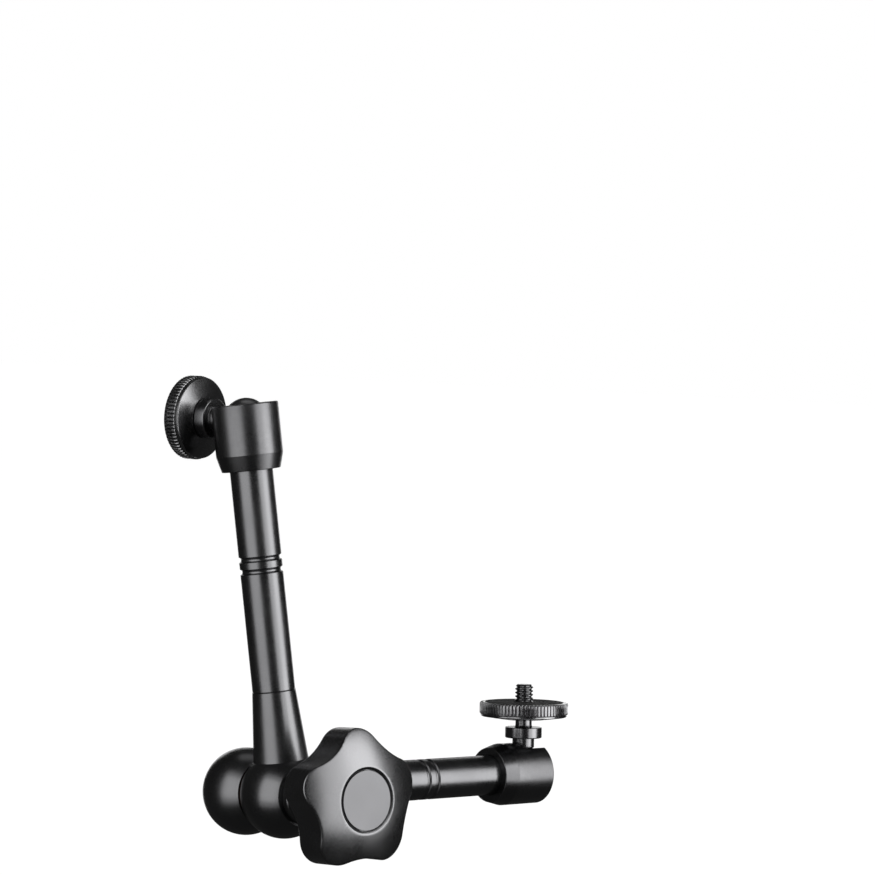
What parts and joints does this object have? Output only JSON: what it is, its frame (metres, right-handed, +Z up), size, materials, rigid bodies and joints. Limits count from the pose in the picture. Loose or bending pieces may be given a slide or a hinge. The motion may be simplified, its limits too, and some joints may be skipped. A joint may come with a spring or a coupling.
{
  "type": "articulating friction arm",
  "caption": "Two-tube articulating arm with a clamping elbow and star knob, and a slotted ball joint, threaded stud and knurled lock wheel at each end.",
  "frame": {"origin": "centre of lock wheel A's clamping face, on the axis of stud A", "axes": "-X points out along stud A, the way a clamp or cage screwed onto it leaves; +Z is up in the rest pose; +Y towards the free end of the lower arm"},
  "size_m": [0.0866, 0.1667, 0.1475],
  "materials": {
    "black_anodised": "satin black anodised, fine bead blast",
    "knob_black": "smooth satin black anodised",
    "black_steel": "turned, black oxide",
    "steel": "ground",
    "bronze": "turned bronze",
    "brass": "turned",
    "nylon": "moulded nylon",
    "fibre": "pressed friction fibre",
    "rubber": "matt moulded rubber"
  },
  "bodies": {
    "stud_a": {"stud_a": "black_steel"},
    "wheel_pad_a": {"wheel_pad_a": "rubber"},
    "lock_wheel_a": {"lock_wheel_a": "black_anodised"},
    "ball_a": {"ball_a": "black_steel"},
    "socket_a": {"socket_cap_a": "black_anodised", "cap_collar_a": "black_anodised"},
    "arm_a": {"arm_tube_a": "black_anodised", "retaining_ring_a": "steel", "knuckle_front": "black_anodised", "elbow_bush": "bronze", "friction_washer": "fibre"},
    "rod_a": {"push_rod_a": "steel", "ball_seat_a": "nylon"},
    "front_clamp": {"wedge_cone_front": "steel", "pressure_sleeve": "black_anodised", "thrust_washer": "bronze"},
    "knob": {"star_knob": "knob_black", "knob_nut": "brass", "knob_disc": "knob_black"},
    "arm_b": {"arm_tube_b": "black_anodised", "retaining_ring_b": "steel", "knuckle_rear": "black_anodised", "bolt_key_pin": "steel"},
    "bolt": {"clamp_bolt": "steel", "wedge_cone_rear": "steel", "release_spring": "steel"},
    "rod_b": {"push_rod_b": "steel", "ball_seat_b": "nylon"},
    "socket_b": {"socket_cap_b": "black_anodised", "cap_collar_b": "black_anodised"},
    "ball_b": {"ball_b": "black_steel"},
    "stud_b": {"stud_b": "black_steel"},
    "wheel_pad_b": {"wheel_pad_b": "rubber"},
    "lock_wheel_b": {"lock_wheel_b": "black_anodised"}
  },
  "joints": [
    {"name": "wheel_a_travel", "type": "slide", "parent": "stud_a", "child": "wheel_pad_a", "axis": [-1, 0, 0], "range_m": [-0.0001, 0.0026]},
    {"name": "wheel_a_turn", "type": "hinge", "parent": "wheel_pad_a", "child": "lock_wheel_a", "pos_m": [0.0229, 0, 0], "axis": [-1, 0, 0], "range_deg": [-24, 720]},
    {"name": "stud_a_spin", "type": "hinge", "parent": "stud_a", "child": "ball_a", "pos_m": [0.0229, 0, 0], "axis": [-1, 0, 0], "continuous": true},
    {"name": "stud_a_tilt", "type": "hinge", "parent": "ball_a", "child": "socket_a", "pos_m": [0.0229, 0, 0], "axis": [0, 0.9971, 0.0767], "range_deg": [-101.1, 8.9]},
    {"name": "socket_a_swivel", "type": "hinge", "parent": "socket_a", "child": "arm_a", "pos_m": [0.0229, 0, 0], "axis": [-0.1201, -0.0762, 0.9898], "continuous": true},
    {"name": "rod_a_slide", "type": "slide", "parent": "arm_a", "child": "rod_a", "axis": [0.1201, 0.0762, -0.9898], "range_m": [0, 0.000522]},
    {"name": "front_clamp_slide", "type": "slide", "parent": "arm_a", "child": "front_clamp", "axis": [0.9514, -0.2937, 0.0929], "range_m": [0, 0.000522]},
    {"name": "knob_turn", "type": "hinge", "parent": "front_clamp", "child": "knob", "pos_m": [0.06313, 0.00102, -0.11491], "axis": [0.9514, -0.2937, 0.0929], "range_deg": [0, 300]},
    {"name": "elbow_swing", "type": "hinge", "parent": "arm_a", "child": "arm_b", "pos_m": [0.01779, 0.01501, -0.11933], "axis": [-0.9514, 0.2937, -0.0929], "range_deg": [-76.7, 243.3]},
    {"name": "bolt_slide", "type": "slide", "parent": "arm_b", "child": "bolt", "axis": [-0.9514, 0.2937, -0.0929], "range_m": [0, 0.000522]},
    {"name": "rod_b_slide", "type": "slide", "parent": "arm_b", "child": "rod_b", "axis": [-0.2957, -0.9552, 0.0085], "range_m": [0, 0.000522]},
    {"name": "socket_b_swivel", "type": "hinge", "parent": "arm_b", "child": "socket_b", "pos_m": [0.05288, 0.12835, -0.12034], "axis": [0.2957, 0.9552, -0.0085], "continuous": true},
    {"name": "stud_b_tilt", "type": "hinge", "parent": "socket_b", "child": "ball_b", "pos_m": [0.05288, 0.12835, -0.12034], "axis": [0.9543, -0.295, 0.0476], "range_deg": [-108, 2]},
    {"name": "stud_b_spin", "type": "hinge", "parent": "ball_b", "child": "stud_b", "pos_m": [0.05288, 0.12835, -0.12034], "axis": [-0.043, 0.0222, 0.9988], "continuous": true},
    {"name": "wheel_b_travel", "type": "slide", "parent": "stud_b", "child": "wheel_pad_b", "axis": [-0.043, 0.0222, 0.9988], "range_m": [-0.0025, 0.0026]},
    {"name": "wheel_b_turn", "type": "hinge", "parent": "wheel_pad_b", "child": "lock_wheel_b", "pos_m": [0.05288, 0.12835, -0.12034], "axis": [-0.043, 0.0222, 0.9988], "range_deg": [-700, 720]}
  ],
  "couplings": [
    {"joint": "wheel_a_travel", "follows": "wheel_a_turn", "m_per_rad": 0.00020213},
    {"joint": "wheel_b_travel", "follows": "wheel_b_turn", "m_per_rad": 0.00020213},
    {"joint": "front_clamp_slide", "follows": "knob_turn", "m_per_rad": 0.000099472},
    {"joint": "bolt_slide", "follows": "knob_turn", "m_per_rad": 0.000099472},
    {"joint": "rod_a_slide", "follows": "knob_turn", "m_per_rad": 0.000099472},
    {"joint": "rod_b_slide", "follows": "knob_turn", "m_per_rad": 0.000099472}
  ]
}
